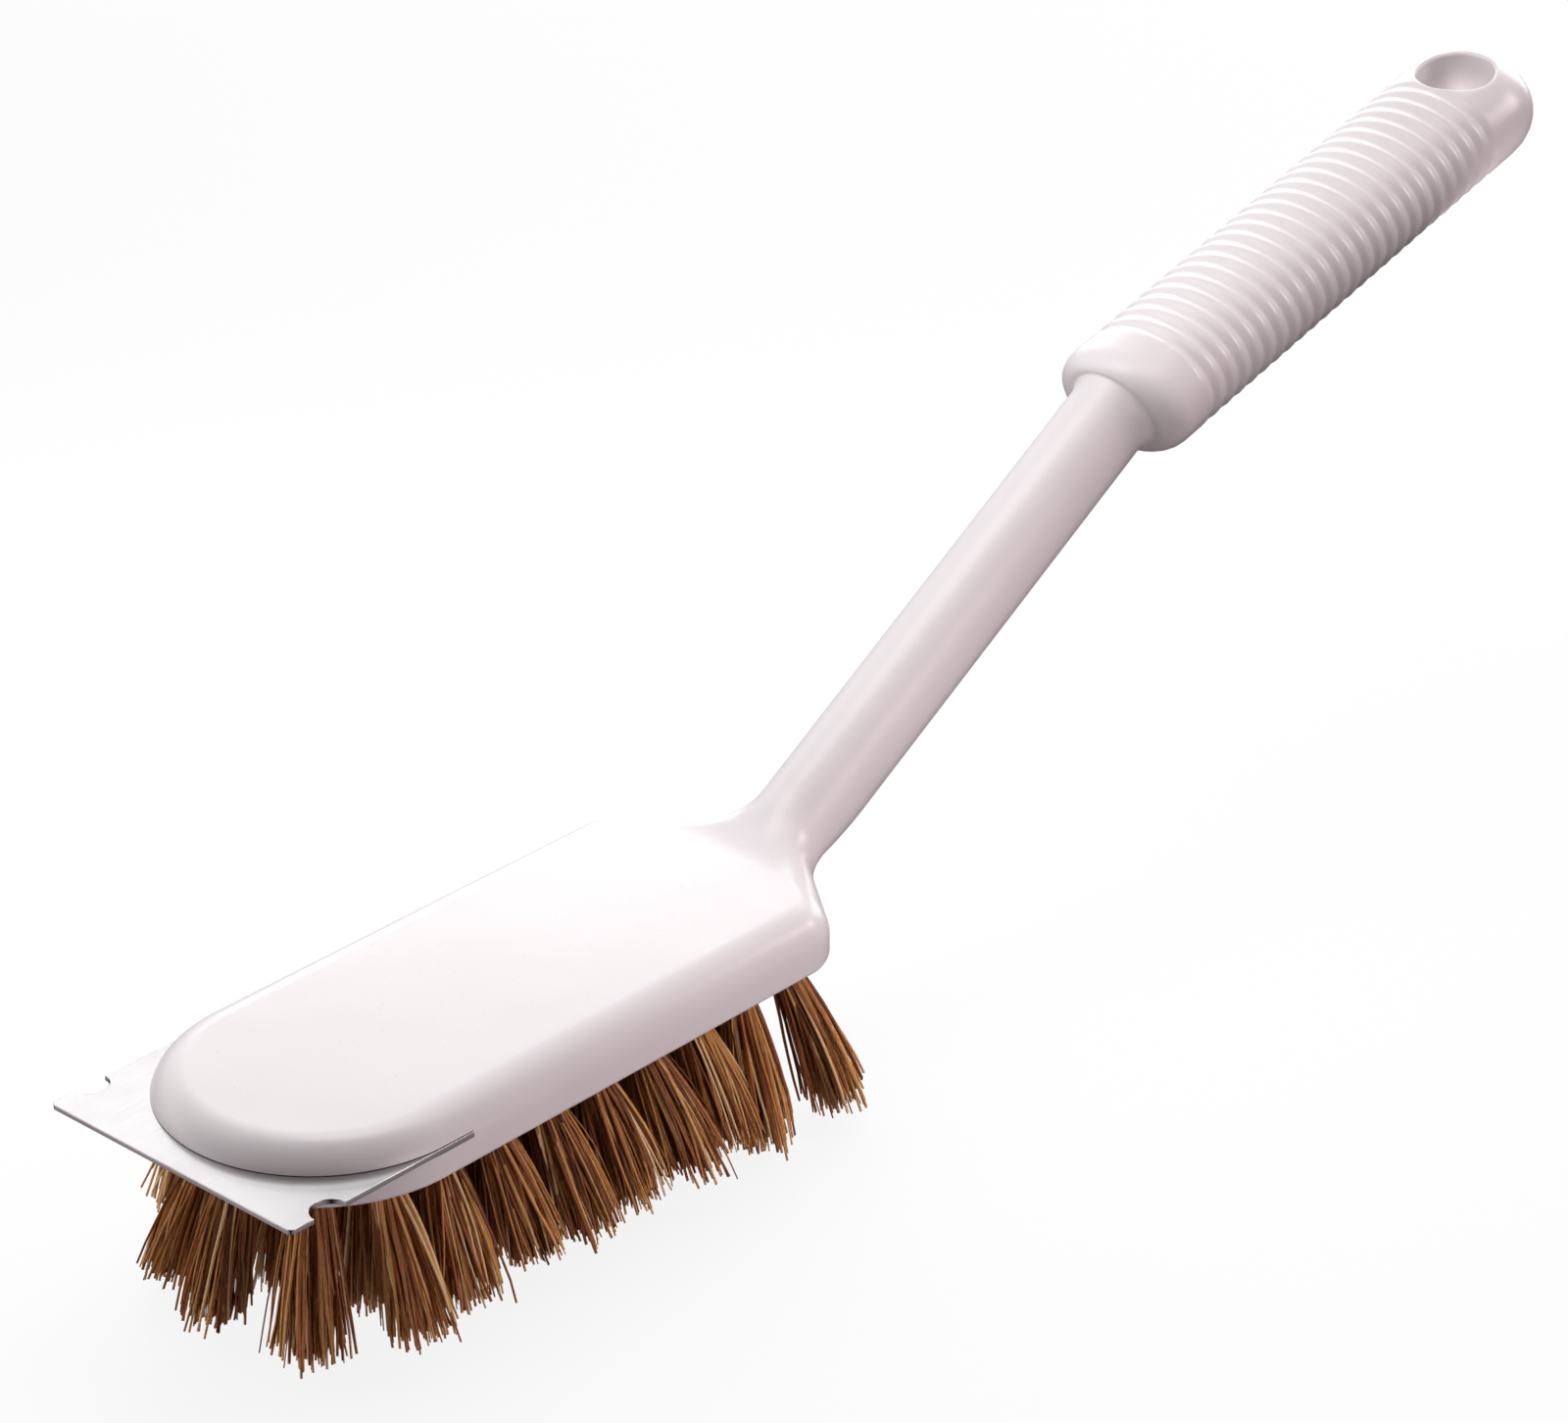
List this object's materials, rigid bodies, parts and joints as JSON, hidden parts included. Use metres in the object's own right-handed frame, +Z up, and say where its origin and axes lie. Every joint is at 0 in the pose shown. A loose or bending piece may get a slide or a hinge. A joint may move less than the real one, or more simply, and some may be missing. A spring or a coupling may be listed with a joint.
{
  "type": "grill brush",
  "caption": "Hand grill brush: flat round-nosed head with palm-fibre tufts below, a notched steel scraper blade in the nose, a cranked shank and a ribbed oval grip with a hang hole.",
  "frame": {"origin": "on the plane of the trimmed fibre tips, under the middle of the overall length", "axes": "+X along the length from the scraper to the grip, +Y to the left seen along +X, +Z up from the tips"},
  "size_m": [0.3728, 0.0696, 0.1368],
  "materials": {
    "white_plastic": "smooth moulded white plastic with a soft gloss",
    "blade_steel": "stainless sheet, brushed lengthways",
    "wire_steel": "drawn steel wire",
    "palm_fibre": "stiff brown palm fibre with paler strands"
  },
  "bodies": {
    "root": {"brush_body": "white_plastic", "scraper_blade": "blade_steel", "blade_pin_left": "wire_steel", "blade_pin_right": "wire_steel", "bristles_front_left": "palm_fibre", "bristles_front_right": "palm_fibre", "bristles_rear_left": "palm_fibre", "bristles_rear_right": "palm_fibre", "tuft_anchor_01": "wire_steel", "tuft_anchor_02": "wire_steel", "tuft_anchor_03": "wire_steel", "tuft_anchor_04": "wire_steel", "tuft_anchor_05": "wire_steel", "tuft_anchor_06": "wire_steel", "tuft_anchor_07": "wire_steel", "tuft_anchor_08": "wire_steel", "tuft_anchor_09": "wire_steel", "tuft_anchor_10": "wire_steel", "tuft_anchor_11": "wire_steel", "tuft_anchor_12": "wire_steel", "tuft_anchor_13": "wire_steel", "tuft_anchor_14": "wire_steel", "tuft_anchor_15": "wire_steel", "tuft_anchor_16": "wire_steel", "tuft_anchor_17": "wire_steel", "tuft_anchor_18": "wire_steel", "tuft_anchor_19": "wire_steel", "tuft_anchor_20": "wire_steel", "tuft_anchor_21": "wire_steel", "tuft_anchor_22": "wire_steel", "tuft_anchor_23": "wire_steel", "tuft_anchor_24": "wire_steel", "tuft_anchor_25": "wire_steel", "tuft_anchor_26": "wire_steel", "tuft_anchor_27": "wire_steel", "tuft_anchor_28": "wire_steel", "tuft_anchor_29": "wire_steel", "tuft_anchor_30": "wire_steel", "tuft_anchor_31": "wire_steel", "tuft_anchor_32": "wire_steel", "tuft_anchor_33": "wire_steel", "tuft_anchor_34": "wire_steel", "tuft_anchor_35": "wire_steel", "tuft_anchor_36": "wire_steel", "tuft_anchor_37": "wire_steel", "tuft_anchor_38": "wire_steel", "tuft_anchor_39": "wire_steel", "tuft_anchor_40": "wire_steel", "tuft_anchor_41": "wire_steel", "tuft_anchor_42": "wire_steel", "tuft_anchor_43": "wire_steel", "tuft_anchor_44": "wire_steel", "tuft_anchor_45": "wire_steel", "tuft_anchor_46": "wire_steel"}
  },
  "joints": []
}
